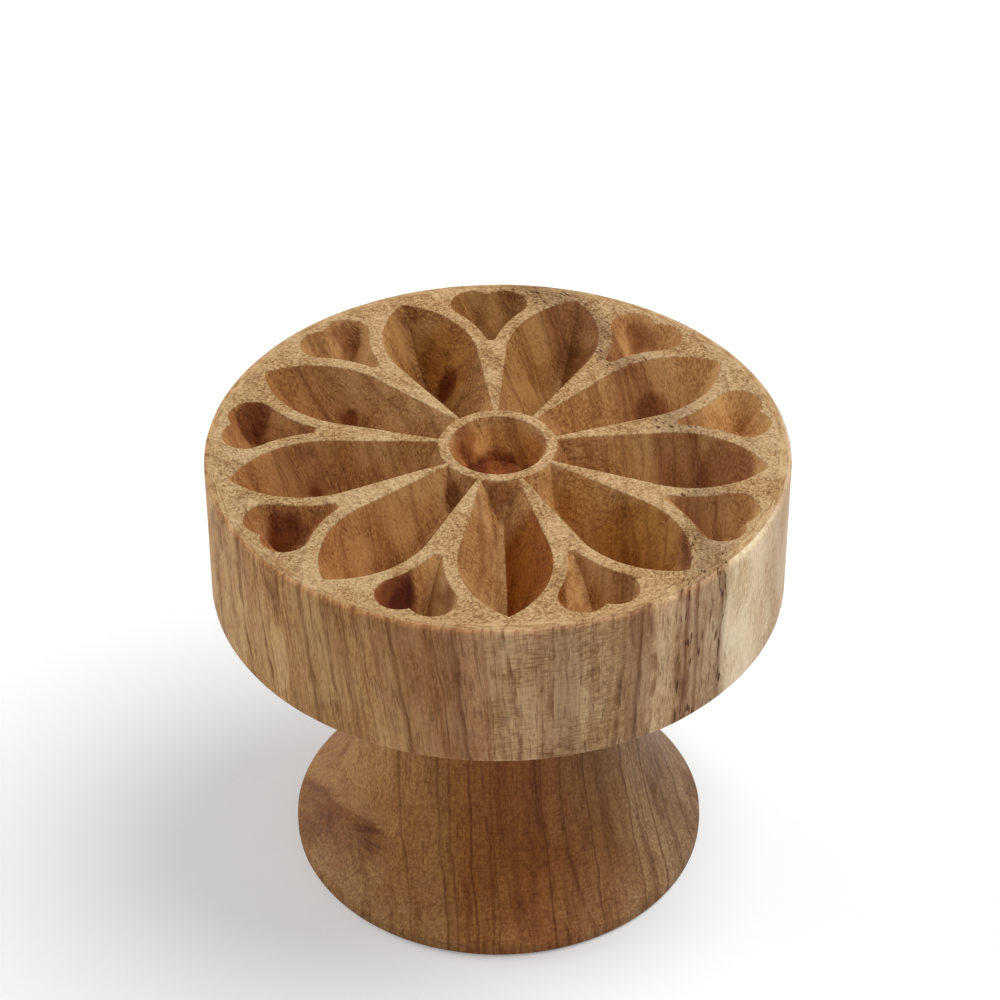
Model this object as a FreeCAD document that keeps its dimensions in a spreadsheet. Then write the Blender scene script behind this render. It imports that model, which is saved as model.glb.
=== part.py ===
import FreeCAD, Part
import math
import os
import Sketcher

# A wooden cookie stamp, standing on the foot of its handle with the carved face on top.
# It is three pieces: a thick round head with a rosette carved in its face, a turned handle
# with a waist and a broad foot, and the fluted dowel that is glued into both.
# Millimetres. The origin is the centre of the foot's underside, and +Z runs up the axis.
# The rosette has nine petals round a centre dimple, and a heart between each two petals.
# All of it is cut with a pointed cutter, so each pocket gets deeper in proportion to the
# distance from its outline. The petals' walls meet at a narrow floor, as wide as the
# cutter's blunt point, and the hearts' walls meet in a sharp valley.

doc = FreeCAD.newDocument("CookieStamp")

# Driving sizes, each with its name, its value and what it measures.
SIZES = [
    ("head_diameter", 70.0, "across the round head"),
    ("head_thickness", 19.6, "from the carved face to the underside"),
    ("face_edge_bevel", 0.5, "edge eased between the face and the rim"),
    ("back_edge_bevel", 0.6, "edge eased between the rim and the underside"),
    ("wall_angle", 60.0, "degrees between the face and a carved wall"),
    ("dimple_mouth_diameter", 11.7, "centre dimple at the face"),
    ("dimple_depth", 4.8, "face to the dimple's floor"),
    ("wood_under_dimple", 3.8, "left between the dimple's floor and the dowel's hole"),
    ("ring_width", 1.2, "ring of face left between the dimple and the petals"),
    ("petal_count", 9, "petals, and as many hearts"),
    ("petal_width", 11.0, "petal at its widest"),
    ("petal_root_width", 4.6, "petal where it meets the ring"),
    ("petal_tip_length", 10.2, "from the widest place to the point"),
    ("petal_rim_land", 2.6, "face left between a petal's point and the rim"),
    ("petal_floor_width", 0.6, "strip of floor along a petal's valley"),
    ("heart_rim_land", 1.9, "face left between a heart's lobes and the rim"),
    ("heart_lobe_radius", 2.9, "each lobe of a heart"),
    ("heart_lobe_spacing", 3.9, "between the centres of the two lobes"),
    ("heart_length", 7.5, "from the lobes' centres to the centre of the tip"),
    ("heart_tip_radius", 0.7, "rounding of the tip"),
    ("heart_side_radius", 13.8, "hollow side from a lobe to the tip"),
    ("handle_length", 40.0, "from the foot's underside to the head"),
    ("foot_diameter", 52.0, "across the foot"),
    ("foot_band_height", 2.0, "upright band round the foot"),
    ("foot_edge_bevel", 0.7, "edge eased under the band"),
    ("waist_diameter", 33.0, "handle at its narrowest"),
    ("waist_height", 24.0, "narrowest place above the foot's underside"),
    ("shoulder_diameter", 42.0, "top of the handle, against the head"),
    ("dowel_diameter", 10.0, "over the ridges between the flutes"),
    ("dowel_length", 30.0, "whole dowel"),
    ("dowel_chamfer", 1.0, "bevel at both ends of the dowel"),
    ("flute_count", 12, "glue grooves along the dowel"),
    ("flute_radius", 0.5, "hollow of a glue groove"),
    ("flute_depth", 0.35, "how deep a groove is cut"),
    ("dowel_clearance", 0.05, "all round between the dowel and its holes"),
    ("glue_room", 1.0, "left for glue beyond each end of the dowel"),
]

sheet = doc.addObject("Spreadsheet::Sheet", "Sizes")
for row, (size_name, value, meaning) in enumerate(SIZES, start=1):
    sheet.set(f"A{row}", size_name)
    sheet.set(f"B{row}", str(value))
    sheet.set(f"C{row}", meaning)
    sheet.setAlias(f"B{row}", size_name)
doc.recompute()

# Values worked out from the sizes. A petal lies along +X here, and so does a heart.
# A petal's side is a straight flank from the ring, then an arc through the widest place to
# the point. The arc's centre is beyond the petal's axis, and the flank touches the arc.
# A heart's hollow side touches the lobe and the rounding of the tip, so its centre is found
# from the triangle that it makes with their two centres.
LAYOUT = [
    ("wall_fall", "Float", "tan(Sizes.wall_angle)"),
    ("pitch", "Angle", "360 deg / Sizes.petal_count"),
    ("head_radius", "Float", "Sizes.head_diameter / 2"),
    ("dimple_radius", "Float", "Sizes.dimple_mouth_diameter / 2"),
    ("dimple_floor_radius", "Float", "Layout.dimple_radius - Sizes.dimple_depth / Layout.wall_fall"),
    ("ring_radius", "Float", "Layout.dimple_radius + Sizes.ring_width"),
    ("petal_tip", "Float", "Layout.head_radius - Sizes.petal_rim_land"),
    ("petal_belly", "Float", "Layout.petal_tip - Sizes.petal_tip_length"),
    ("petal_arc", "Float",
     "(Sizes.petal_tip_length ^ 2 + (Sizes.petal_width / 2) ^ 2) / Sizes.petal_width"),
    ("petal_arc_centre", "Float", "Layout.petal_arc - Sizes.petal_width / 2"),
    ("flank_run", "Float", "Layout.petal_belly - Layout.ring_radius"),
    ("flank_rise", "Float", "Layout.petal_arc_centre + Sizes.petal_root_width / 2"),
    ("flank_angle", "Angle",
     "asin(Layout.petal_arc / sqrt(Layout.flank_run ^ 2 + Layout.flank_rise ^ 2))"
     " - atan(Layout.flank_rise / Layout.flank_run)"),
    ("lobe_across", "Float", "Sizes.heart_lobe_spacing / 2"),
    ("lobe_out", "Float",
     "Layout.head_radius - Sizes.heart_rim_land - Sizes.heart_lobe_radius"),
    ("heart_tip", "Float", "Layout.lobe_out - Sizes.heart_length"),
    ("notch_out", "Float",
     "Layout.lobe_out + sqrt(Sizes.heart_lobe_radius ^ 2 - Layout.lobe_across ^ 2)"),
    ("tip_to_lobe", "Float", "sqrt(Sizes.heart_length ^ 2 + Layout.lobe_across ^ 2)"),
    ("side_to_tip", "Float", "Sizes.heart_side_radius + Sizes.heart_tip_radius"),
    ("side_to_lobe", "Float", "Sizes.heart_side_radius + Sizes.heart_lobe_radius"),
    ("side_turn", "Angle",
     "atan(Layout.lobe_across / Sizes.heart_length)"
     " + acos((Layout.tip_to_lobe ^ 2 + Layout.side_to_tip ^ 2 - Layout.side_to_lobe ^ 2)"
     " / (2 * Layout.tip_to_lobe * Layout.side_to_tip))"),
    ("side_out", "Float", "Layout.heart_tip + Layout.side_to_tip * cos(Layout.side_turn)"),
    ("side_across", "Float", "Layout.side_to_tip * sin(Layout.side_turn)"),
    ("heart_depth", "Float",
     "(Layout.lobe_across + Sizes.heart_lobe_radius) * Layout.wall_fall"),
    ("foot_radius", "Float", "Sizes.foot_diameter / 2"),
    ("waist_radius", "Float", "Sizes.waist_diameter / 2"),
    ("shoulder_radius", "Float", "Sizes.shoulder_diameter / 2"),
    ("lower_cove_radius", "Float",
     "((Sizes.waist_height - Sizes.foot_band_height) ^ 2"
     " + (Layout.foot_radius - Layout.waist_radius) ^ 2)"
     " / (2 * (Layout.foot_radius - Layout.waist_radius))"),
    ("upper_cove_radius", "Float",
     "((Sizes.handle_length - Sizes.waist_height) ^ 2"
     " + (Layout.shoulder_radius - Layout.waist_radius) ^ 2)"
     " / (2 * (Layout.shoulder_radius - Layout.waist_radius))"),
    ("dowel_radius", "Float", "Sizes.dowel_diameter / 2"),
    ("hole_radius", "Float", "Layout.dowel_radius + Sizes.dowel_clearance"),
    ("head_hole_depth", "Float",
     "Sizes.head_thickness - Sizes.dimple_depth - Sizes.wood_under_dimple"),
    ("dowel_in_handle", "Float",
     "Sizes.dowel_length - (Layout.head_hole_depth - Sizes.glue_room)"),
    ("stamp_height", "Float", "Sizes.handle_length + Sizes.head_thickness"),
]

layout = doc.addObject("App::VarSet", "Layout")
for value_name, kind, formula in LAYOUT:
    layout.addProperty(f"App::Property{kind}", value_name, "Layout")
    layout.setExpression(value_name, formula)
doc.recompute()

# How far the cutting shapes stand above the face, so that they cut it cleanly.
CUTTER_RISE = 0.05


def size_now(formula):
    """The present value of a formula, in millimetres or degrees."""
    value = sheet.evalExpression(formula)
    return getattr(value, "Value", value)


# Sketches. An outline is a closed loop of corners, each written as two formulas. A corner
# that has a third entry is reached by an arc with that radius, and the fourth entry says
# whether the arc turns left or right on its way.
def new_sketch(body, name, plane, height=None):
    """A sketch on one of the body's own planes, or at a height above it."""
    sketch = body.newObject("Sketcher::SketchObject", name)
    support = [part for part in body.Origin.OriginFeatures if part.Role == plane][0]
    sketch.AttachmentSupport = [(support, "")]
    sketch.MapMode = "FlatFace"
    if height:
        sketch.setExpression(".AttachmentOffset.Base.z", height)
    return sketch


def bind(sketch, kind, shape, end, formula):
    """One dimension of a sketch, tied to a formula."""
    value = size_now(formula)
    entries = (shape, value) if end is None else (shape, end, value)
    number = sketch.addConstraint(Sketcher.Constraint(kind, *entries))
    sketch.setExpression(f"Constraints[{number}]", formula)


def place_corner(sketch, shape, end, corner):
    """Holds one end of a sketched line or arc at a corner."""
    upright_axis, level_axis = -2, -1
    for kind, formula, axis in (("DistanceX", corner[0], upright_axis),
                                ("DistanceY", corner[1], level_axis)):
        if formula == "0":
            sketch.addConstraint(Sketcher.Constraint("PointOnObject", shape, end, axis))
        else:
            bind(sketch, kind, shape, end, formula)


def arc_between(start, finish, radius, turn):
    """An arc from start to finish, and which of its ends is the start."""
    chord = finish - start
    side = FreeCAD.Vector(-chord.y, chord.x, 0).normalize()
    reach = math.sqrt(max(radius ** 2 - chord.Length ** 2 / 4, 0.0))
    centre = (start + finish) / 2 + side * (reach if turn == "left" else -reach)
    first, last = (start, finish) if turn == "left" else (finish, start)
    angles = [math.atan2(point.y - centre.y, point.x - centre.x) for point in (first, last)]
    circle = Part.Circle(centre, FreeCAD.Vector(0, 0, 1), radius)
    return Part.ArcOfCircle(circle, *angles), (1 if turn == "left" else 2)


def draw_outline(sketch, corners):
    """Closes the loop of corners with straight sides and arcs."""
    places = [FreeCAD.Vector(size_now(corner[0]), size_now(corner[1]), 0) for corner in corners]
    ends = []
    for index, corner in enumerate(corners):
        start, finish = places[index - 1], places[index]
        if len(corner) == 2:
            shape = sketch.addGeometry(Part.LineSegment(start, finish))
            start_end = 1
        else:
            arc, start_end = arc_between(start, finish, size_now(corner[2]), corner[3])
            shape = sketch.addGeometry(arc)
            bind(sketch, "Radius", shape, None, corner[2])
        ends.append((shape, start_end, 3 - start_end))
    for index, corner in enumerate(corners):
        shape, _, finish_end = ends[index]
        next_shape, next_start, _ = ends[(index + 1) % len(corners)]
        sketch.addConstraint(
            Sketcher.Constraint("Coincident", shape, finish_end, next_shape, next_start))
        place_corner(sketch, shape, finish_end, corner)


def draw_circle(sketch, radius, out="0"):
    """A circle whose centre is that far out along the sketch's X axis."""
    centre = FreeCAD.Vector(size_now(out), 0, 0)
    circle = Part.Circle(centre, FreeCAD.Vector(0, 0, 1), size_now(radius))
    shape = sketch.addGeometry(circle)
    bind(sketch, "Radius", shape, None, radius)
    place_corner(sketch, shape, 3, (out, "0"))


def turn_outline(body, name, corners):
    """A piece turned on the lathe: an outline in the XZ plane, spun round the Z axis."""
    sketch = new_sketch(body, f"{name}Outline", "XZ_Plane")
    draw_outline(sketch, corners)
    turned = body.newObject("PartDesign::Revolution", name)
    turned.Profile = sketch
    turned.ReferenceAxis = (sketch, ["V_Axis"])
    turned.Angle = 360
    doc.recompute()


def bore_for_dowel(body, height, depth, upwards):
    """A blind hole on the axis, drilled up or down from a flat face at that height."""
    sketch = new_sketch(body, f"{body.Name}HoleOutline", "XY_Plane", height)
    draw_circle(sketch, "Layout.hole_radius")
    before = body.Shape.Volume
    hole = body.newObject("PartDesign::Pocket", f"{body.Name}Hole")
    hole.Profile = sketch
    hole.Reversed = upwards
    hole.setExpression("Length", depth)
    doc.recompute()
    if body.Shape.Volume >= before:
        raise RuntimeError(f"the hole in {body.Label} removes no wood")


# The head's blank: a turned disc with its two edges eased, and the dowel's blind hole in
# its underside. Its face is at height 0 until the carved head is set on the handle.
head_blank = doc.addObject("PartDesign::Body", "HeadBlank")
turn_outline(head_blank, "HeadDisc", [
    ("0", "0"),
    ("Layout.head_radius - Sizes.face_edge_bevel", "0"),
    ("Layout.head_radius", "-Sizes.face_edge_bevel"),
    ("Layout.head_radius", "Sizes.back_edge_bevel - Sizes.head_thickness"),
    ("Layout.head_radius - Sizes.back_edge_bevel", "-Sizes.head_thickness"),
    ("0", "-Sizes.head_thickness"),
])
bore_for_dowel(head_blank, "-Sizes.head_thickness", "Layout.head_hole_depth", True)


# Cones for the carving. A sunk cone is the pocket that the pointed cutter leaves in a circle
# drawn on the face. A standing cone is the wood that stays outside a hollow outline.
def sunk_cone(name, radius, out="0", across="0"):
    cone = doc.addObject("Part::Cone", name)
    cone.Radius1 = 0
    cone.setExpression("Radius2", f"{radius} + {CUTTER_RISE} / Layout.wall_fall")
    cone.setExpression("Height", f"{radius} * Layout.wall_fall + {CUTTER_RISE}")
    cone.setExpression(".Placement.Base.x", out)
    cone.setExpression(".Placement.Base.y", across)
    cone.setExpression(".Placement.Base.z", f"-{radius} * Layout.wall_fall")
    return cone


def standing_cone(name, radius, depth, out="0", across="0"):
    cone = doc.addObject("Part::Cone", name)
    cone.setExpression("Radius1", f"{radius} + {depth} / Layout.wall_fall")
    cone.setExpression("Radius2", f"{radius} - {CUTTER_RISE} / Layout.wall_fall")
    cone.setExpression("Height", f"{depth} + {CUTTER_RISE}")
    cone.setExpression(".Placement.Base.x", out)
    cone.setExpression(".Placement.Base.y", across)
    cone.setExpression(".Placement.Base.z", f"-{depth}")
    return cone


def combine(kind, name, shapes):
    """One shape made of several: all that they fill, or only what they share."""
    result = doc.addObject(kind, name)
    result.Shapes = shapes
    return result


def cut_away(name, base, tool):
    result = doc.addObject("Part::Cut", name)
    result.Base = base
    result.Tool = tool
    return result


# A petal. One side of it is the cutter's sloping wall, led straight along the flank and
# then round the arc. It is made about the arc's centre, with the flank along X, and then
# turned and moved to its place. The other side is its mirror image, and what lies inside
# both sides and outside the ring is the pocket.
petal_side = doc.addObject("PartDesign::Body", "PetalSide")
round_wall = new_sketch(petal_side, "RoundWallOutline", "YZ_Plane")
draw_outline(round_wall, [
    ("0", "-Layout.petal_arc * Layout.wall_fall"),
    (f"Layout.petal_arc + {CUTTER_RISE} / Layout.wall_fall", f"{CUTTER_RISE}"),
    ("0", f"{CUTTER_RISE}"),
])
round_part = petal_side.newObject("PartDesign::Revolution", "RoundWall")
round_part.Profile = round_wall
round_part.ReferenceAxis = (round_wall, ["V_Axis"])
round_part.Angle = 360
doc.recompute()
flank_wall = new_sketch(petal_side, "FlankWallOutline", "YZ_Plane")
draw_outline(flank_wall, [
    ("Layout.petal_arc - Sizes.petal_width", "-Sizes.petal_width * Layout.wall_fall"),
    (f"Layout.petal_arc + {CUTTER_RISE} / Layout.wall_fall", f"{CUTTER_RISE}"),
    ("Layout.petal_arc - Sizes.petal_width", f"{CUTTER_RISE}"),
])
flank_part = petal_side.newObject("PartDesign::Pad", "FlankWall")
flank_part.Profile = flank_wall
flank_part.Reversed = True
flank_part.setExpression("Length", "Layout.petal_belly")
petal_side.setExpression(".Placement.Rotation.Angle", "Layout.flank_angle")
petal_side.setExpression(".Placement.Base.x", "Layout.petal_belly")
petal_side.setExpression(".Placement.Base.y", "-Layout.petal_arc_centre")
doc.recompute()

other_side = doc.addObject("Part::Mirroring", "OtherPetalSide")
other_side.Source = petal_side
other_side.Normal = FreeCAD.Vector(0, 1, 0)
petal_walls = combine("Part::MultiCommon", "PetalWalls", [petal_side, other_side])
ring_wood = standing_cone("RingWood", "Layout.ring_radius", "Layout.petal_arc * Layout.wall_fall")
sharp_petal = cut_away("SharpPetal", petal_walls, ring_wood)

# The floor along the petal's valley. The sharp pocket is sectioned at one edge of the floor,
# and that section, led straight across to the other edge, takes the place of the bottom.
section_plane = doc.addObject("Part::Plane", "FloorEdgePlane")
section_plane.Placement.Rotation = FreeCAD.Rotation(FreeCAD.Vector(1, 0, 0), 90)
section_plane.setExpression("Length", "Layout.head_radius")
section_plane.setExpression("Width", "Layout.head_radius")
section_plane.setExpression(".Placement.Base.y", "Sizes.petal_floor_width / 2")
section_plane.setExpression(".Placement.Base.z", "1 - Layout.head_radius")
floor_section = combine("Part::MultiCommon", "FloorSection", [section_plane, sharp_petal])
floor_part = doc.addObject("Part::Extrusion", "PetalFloor")
floor_part.Base = floor_section
floor_part.DirMode = "Custom"
floor_part.Dir = FreeCAD.Vector(0, -1, 0)
floor_part.setExpression("LengthFwd", "Sizes.petal_floor_width")
middle = doc.addObject("Part::Box", "PetalMiddle")
middle.setExpression("Length", "Layout.head_radius")
middle.setExpression("Width", "Sizes.petal_floor_width")
middle.setExpression("Height", "Layout.head_radius")
middle.setExpression(".Placement.Base.y", "-Sizes.petal_floor_width / 2")
middle.setExpression(".Placement.Base.z", "1 - Layout.head_radius")
petal = combine("Part::MultiFuse", "PetalPocket",
                [cut_away("PetalFlanks", sharp_petal, middle), floor_part])

# A heart. Its two lobes and the rounding of its tip are sunk cones. Between them lies a
# block whose corners are the centres of the lobes, the tip and the two hollow sides, with
# the wood beside those sides left standing. A last cone stands under the notch, where the
# wall follows the corner between the lobes.
lobes = []
for lobe_name, across in (("LeftLobe", "Layout.lobe_across"), ("RightLobe", "-Layout.lobe_across")):
    lobes.append(sunk_cone(lobe_name, "Sizes.heart_lobe_radius", "Layout.lobe_out", across))
tip = sunk_cone("HeartTip", "Sizes.heart_tip_radius", "Layout.heart_tip")
heart_block = doc.addObject("PartDesign::Body", "HeartBlock")
heart_outline = new_sketch(heart_block, "HeartBlockOutline", "XY_Plane", "-Layout.heart_depth")
draw_outline(heart_outline, [
    ("Layout.lobe_out", "Layout.lobe_across"),
    ("Layout.side_out", "Layout.side_across"),
    ("Layout.heart_tip", "0"),
    ("Layout.side_out", "-Layout.side_across"),
    ("Layout.lobe_out", "-Layout.lobe_across"),
    ("Layout.notch_out", "0"),
])
heart_pad = heart_block.newObject("PartDesign::Pad", "HeartPad")
heart_pad.Profile = heart_outline
heart_pad.setExpression("Length", f"Layout.heart_depth + {CUTTER_RISE}")
doc.recompute()

kept_wood = []
for side_name, across in (("LeftSideWood", "Layout.side_across"),
                          ("RightSideWood", "-Layout.side_across")):
    kept_wood.append(standing_cone(side_name, "Sizes.heart_side_radius", "Layout.heart_depth",
                                   "Layout.side_out", across))
notch_wood = doc.addObject("Part::Cone", "NotchWood")
notch_wood.setExpression("Radius1", "Layout.heart_depth / Layout.wall_fall")
notch_wood.Radius2 = 0
notch_wood.setExpression("Height", "Layout.heart_depth")
notch_wood.setExpression(".Placement.Base.x", "Layout.notch_out")
notch_wood.setExpression(".Placement.Base.z", "-Layout.heart_depth")
kept_wood.append(notch_wood)
heart_middle = cut_away("HeartMiddle", heart_block,
                        combine("Part::MultiFuse", "HeartKeptWood", kept_wood))
heart = combine("Part::MultiFuse", "HeartPocket", lobes + [tip, heart_middle])

# The dimple in the middle of the face is cut round with the same slope, to a flat floor.
dimple = doc.addObject("Part::Cone", "Dimple")
dimple.setExpression("Radius1", "Layout.dimple_floor_radius")
dimple.setExpression("Radius2", f"Layout.dimple_radius + {CUTTER_RISE} / Layout.wall_fall")
dimple.setExpression("Height", f"Sizes.dimple_depth + {CUTTER_RISE}")
dimple.setExpression(".Placement.Base.z", "-Sizes.dimple_depth")

# The rosette: the first petal points to the front, and each heart sits half a pitch on.
FRONT = -90
cuts = [dimple]
for number in range(int(size_now("Sizes.petal_count"))):
    for pocket, steps in ((petal, number), (heart, number + 0.5)):
        copy = doc.addObject("App::Link", f"{pocket.Name}{number + 1}")
        copy.LinkedObject = pocket
        copy.setExpression(".Placement.Rotation.Angle", f"{FRONT} deg + {steps} * Layout.pitch")
        cuts.append(copy)
rosette = combine("Part::MultiFuse", "Rosette", cuts)

stamp_head = cut_away("StampHead", head_blank, rosette)
stamp_head.Label = "stamp_head"
stamp_head.setExpression(".Placement.Base.z", "Layout.stamp_height")

# The handle: turned in one piece, with a broad foot, a narrow upright band round it, a waist
# for the fingers and a flat shoulder that the head rests on. The dowel's hole is in its top.
handle = doc.addObject("PartDesign::Body", "Handle")
handle.Label = "handle"
turn_outline(handle, "HandleSpool", [
    ("0", "0"),
    ("Layout.foot_radius - Sizes.foot_edge_bevel", "0"),
    ("Layout.foot_radius", "Sizes.foot_edge_bevel"),
    ("Layout.foot_radius", "Sizes.foot_band_height"),
    ("Layout.waist_radius", "Sizes.waist_height", "Layout.lower_cove_radius", "right"),
    ("Layout.shoulder_radius", "Sizes.handle_length", "Layout.upper_cove_radius", "right"),
    ("0", "Sizes.handle_length"),
])
bore_for_dowel(handle, "Sizes.handle_length", "Layout.dowel_in_handle + Sizes.glue_room", False)

# The dowel: a bought hardwood pin with bevelled ends and straight glue grooves all round.
dowel = doc.addObject("PartDesign::Body", "JointDowel")
dowel.Label = "joint_dowel"
turn_outline(dowel, "DowelPin", [
    ("0", "0"),
    ("Layout.dowel_radius - Sizes.dowel_chamfer", "0"),
    ("Layout.dowel_radius", "Sizes.dowel_chamfer"),
    ("Layout.dowel_radius", "Sizes.dowel_length - Sizes.dowel_chamfer"),
    ("Layout.dowel_radius - Sizes.dowel_chamfer", "Sizes.dowel_length"),
    ("0", "Sizes.dowel_length"),
])
flute_outline = new_sketch(dowel, "FluteOutline", "XY_Plane")
draw_circle(flute_outline, "Sizes.flute_radius",
            "Layout.dowel_radius + Sizes.flute_radius - Sizes.flute_depth")
flute = dowel.newObject("PartDesign::Pocket", "Flute")
flute.Profile = flute_outline
flute.Reversed = True
flute.setExpression("Length", "Sizes.dowel_length")
doc.recompute()
flutes = dowel.newObject("PartDesign::PolarPattern", "Flutes")
flutes.Originals = [flute]
flutes.Axis = (flute_outline, ["N_Axis"])
flutes.Angle = 360
flutes.setExpression("Occurrences", "Sizes.flute_count")
dowel.Tip = flutes
dowel.setExpression(".Placement.Base.z", "Sizes.handle_length - Layout.dowel_in_handle")
doc.recompute()

# Nothing is written unless every step has worked and each piece is one sound solid.
for item in doc.Objects:
    if "Invalid" in item.State or "Error" in item.State:
        raise RuntimeError(f"{item.Label} was not made: {item.State}")

os.makedirs("parts", exist_ok=True)
for piece in (stamp_head, handle, dowel):
    shape = piece.Shape
    if shape.isNull() or not shape.isValid() or len(shape.Solids) != 1:
        raise RuntimeError(f"{piece.Label} is not one sound solid")
    shape.exportStep(f"parts/{piece.Label}.step")
    box = shape.optimalBoundingBox()
    print(f"{piece.Label}: {shape.Volume / 1000:.2f} cm3, {len(shape.Faces)} faces,"
          f" {box.XLength:.2f} x {box.YLength:.2f} x {box.ZLength:.2f} mm,"
          f" from z {box.ZMin:.2f} to {box.ZMax:.2f}")
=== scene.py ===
from math import acos, asin, atan2, ceil, cos, hypot, pi, radians, sin, sqrt, tan

import bmesh
import bpy
from mathutils import Matrix, Vector, noise
from mathutils.geometry import delaunay_2d_cdt


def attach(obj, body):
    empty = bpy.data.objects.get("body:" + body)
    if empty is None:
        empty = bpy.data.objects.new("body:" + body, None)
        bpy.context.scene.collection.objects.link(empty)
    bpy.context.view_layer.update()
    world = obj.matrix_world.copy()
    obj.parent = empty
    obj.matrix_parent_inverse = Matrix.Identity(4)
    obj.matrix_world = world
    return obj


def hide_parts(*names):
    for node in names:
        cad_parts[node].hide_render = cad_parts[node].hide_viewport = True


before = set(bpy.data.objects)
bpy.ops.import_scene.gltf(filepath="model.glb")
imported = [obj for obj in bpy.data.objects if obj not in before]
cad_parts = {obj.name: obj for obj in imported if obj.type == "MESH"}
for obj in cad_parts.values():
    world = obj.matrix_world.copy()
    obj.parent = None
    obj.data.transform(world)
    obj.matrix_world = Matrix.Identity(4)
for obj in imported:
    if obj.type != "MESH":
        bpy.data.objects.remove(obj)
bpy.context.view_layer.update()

# The view. The stamp stands on its foot, seen through a long lens from the front and above,
# with the camera a touch to the left.
scene = bpy.context.scene
scene.view_settings.view_transform = "Standard"
FACE_HEIGHT = 0.0596

camera_data = bpy.data.cameras.new("photo_camera")
camera_data.sensor_width = 36.0
camera_data.lens = 120.98
camera_data.clip_start = 0.02
CAMERA_PLACE = (0.000245, -0.3225, FACE_HEIGHT + 0.2370)
CAMERA_TURN, CAMERA_DIP, CAMERA_ROLL = -2.16, 37.26, -0.09
camera = bpy.data.objects.new("photo_camera", camera_data)
scene.collection.objects.link(camera)
camera.matrix_world = (
    Matrix.Rotation(radians(CAMERA_TURN), 4, "Z")
    @ Matrix.Translation(CAMERA_PLACE)
    @ Matrix.Rotation(radians(90.0 - CAMERA_DIP), 4, "X")
    @ Matrix.Rotation(radians(CAMERA_ROLL), 4, "Z"))
scene.camera = camera


# The light. One large soft lamp on the right does most of the work, a weaker one fills the
# left, and a pale room lights the rest.
def soft_lamp(name, place, aim, size, power, colour):
    lamp = bpy.data.lights.new(name, "AREA")
    lamp.shape = "DISK"
    lamp.size = size
    lamp.energy = power
    lamp.color = colour
    holder = bpy.data.objects.new(name, lamp)
    scene.collection.objects.link(holder)
    direction = Vector(aim) - Vector(place)
    turn = direction.to_track_quat("-Z", "Y").to_matrix().to_4x4()
    holder.matrix_world = Matrix.Translation(place) @ turn


soft_lamp("key_lamp", (0.302, 0.042, 0.619), (0, 0, 0.04), 0.60, 4.2, (1.0, 0.99, 0.97))
soft_lamp("left_lamp", (-0.540, 0.200, 0.330), (0, 0, 0.04), 0.45, 1.75, (1.0, 1.0, 1.0))

# The camera and reflections see a white room, and it gives the stamp a quarter of that light.
room = bpy.data.worlds.new("pale_room")
room.use_nodes = True
scene.world = room
nodes, links = room.node_tree.nodes, room.node_tree.links
nodes.clear()
ray = nodes.new("ShaderNodeLightPath")
seen = nodes.new("ShaderNodeMath")
seen.operation = "MAXIMUM"
links.new(ray.outputs["Is Camera Ray"], seen.inputs[0])
links.new(ray.outputs["Is Glossy Ray"], seen.inputs[1])
seen_through = nodes.new("ShaderNodeMath")
seen_through.operation = "MAXIMUM"
links.new(seen.outputs[0], seen_through.inputs[0])
links.new(ray.outputs["Is Transmission Ray"], seen_through.inputs[1])
strength = nodes.new("ShaderNodeMapRange")
strength.inputs["To Min"].default_value = 0.26
strength.inputs["To Max"].default_value = 1.0
links.new(seen_through.outputs[0], strength.inputs["Value"])
sky = nodes.new("ShaderNodeBackground")
sky.inputs["Color"].default_value = (1.0, 1.0, 1.0, 1.0)
links.new(strength.outputs["Result"], sky.inputs["Strength"])
links.new(sky.outputs[0], nodes.new("ShaderNodeOutputWorld").inputs["Surface"])

# The floor. A plain white sheet, which keeps the stamp's soft shadow and is otherwise as
# white as the page behind it.
floor_mesh = bpy.data.meshes.new("floor")
floor_mesh.from_pydata([(-3, -3, 0), (3, -3, 0), (3, 3, 0), (-3, 3, 0)], [], [(0, 1, 2, 3)])
floor = bpy.data.objects.new("floor", floor_mesh)
scene.collection.objects.link(floor)
floor_paper = bpy.data.materials.new("floor_paper")
floor_paper.use_nodes = True
nodes, links = floor_paper.node_tree.nodes, floor_paper.node_tree.links
paper = nodes["Principled BSDF"]
paper.inputs["Base Color"].default_value = (0.745, 0.775, 0.795, 1.0)
paper.inputs["Roughness"].default_value = 0.9
paper.inputs["Specular IOR Level"].default_value = 0.0
ray = nodes.new("ShaderNodeLightPath")
glow = nodes.new("ShaderNodeEmission")
glow_part = nodes.new("ShaderNodeMath")
glow_part.operation = "MULTIPLY"
glow_part.inputs[1].default_value = 0.265
links.new(ray.outputs["Is Camera Ray"], glow_part.inputs[0])
links.new(glow_part.outputs[0], glow.inputs["Strength"])
both = nodes.new("ShaderNodeAddShader")
links.new(paper.outputs[0], both.inputs[0])
links.new(glow.outputs[0], both.inputs[1])
links.new(both.outputs[0], nodes["Material Output"].inputs["Surface"])
floor_mesh.materials.append(floor_paper)


# The head: a thick disc of hardwood, turned from one block and glued to the handle with a
# dowel. A blunt pointed cutter has carved nine petals round a dimple into its face, with a
# heart between each two. Lengths are in millimetres, with the face at height 0.
HEAD_RADIUS, HEAD_THICKNESS = 35.0, 19.6
PETALS = 9
WALL_FALL = tan(radians(60))
ARRIS = 0.26
FLOOR_HALF, FLOOR_TAPER = 0.3, 0.3
RING = 7.05
PETAL_TIP, PETAL_BELLY, PETAL_HALF, ROOT_HALF = 32.4, 22.2, 5.5, 2.3
DIMPLE_MOUTH, DIMPLE_DEPTH = 5.85, 4.8
FACE_ROUND, BACK_ROUND, RIM_HEIGHT = 0.9, 0.7, 17.9
DOWEL_HOLE, HOLE_CEILING = 5.05, -8.6
HALF_PITCH = pi / PETALS

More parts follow.
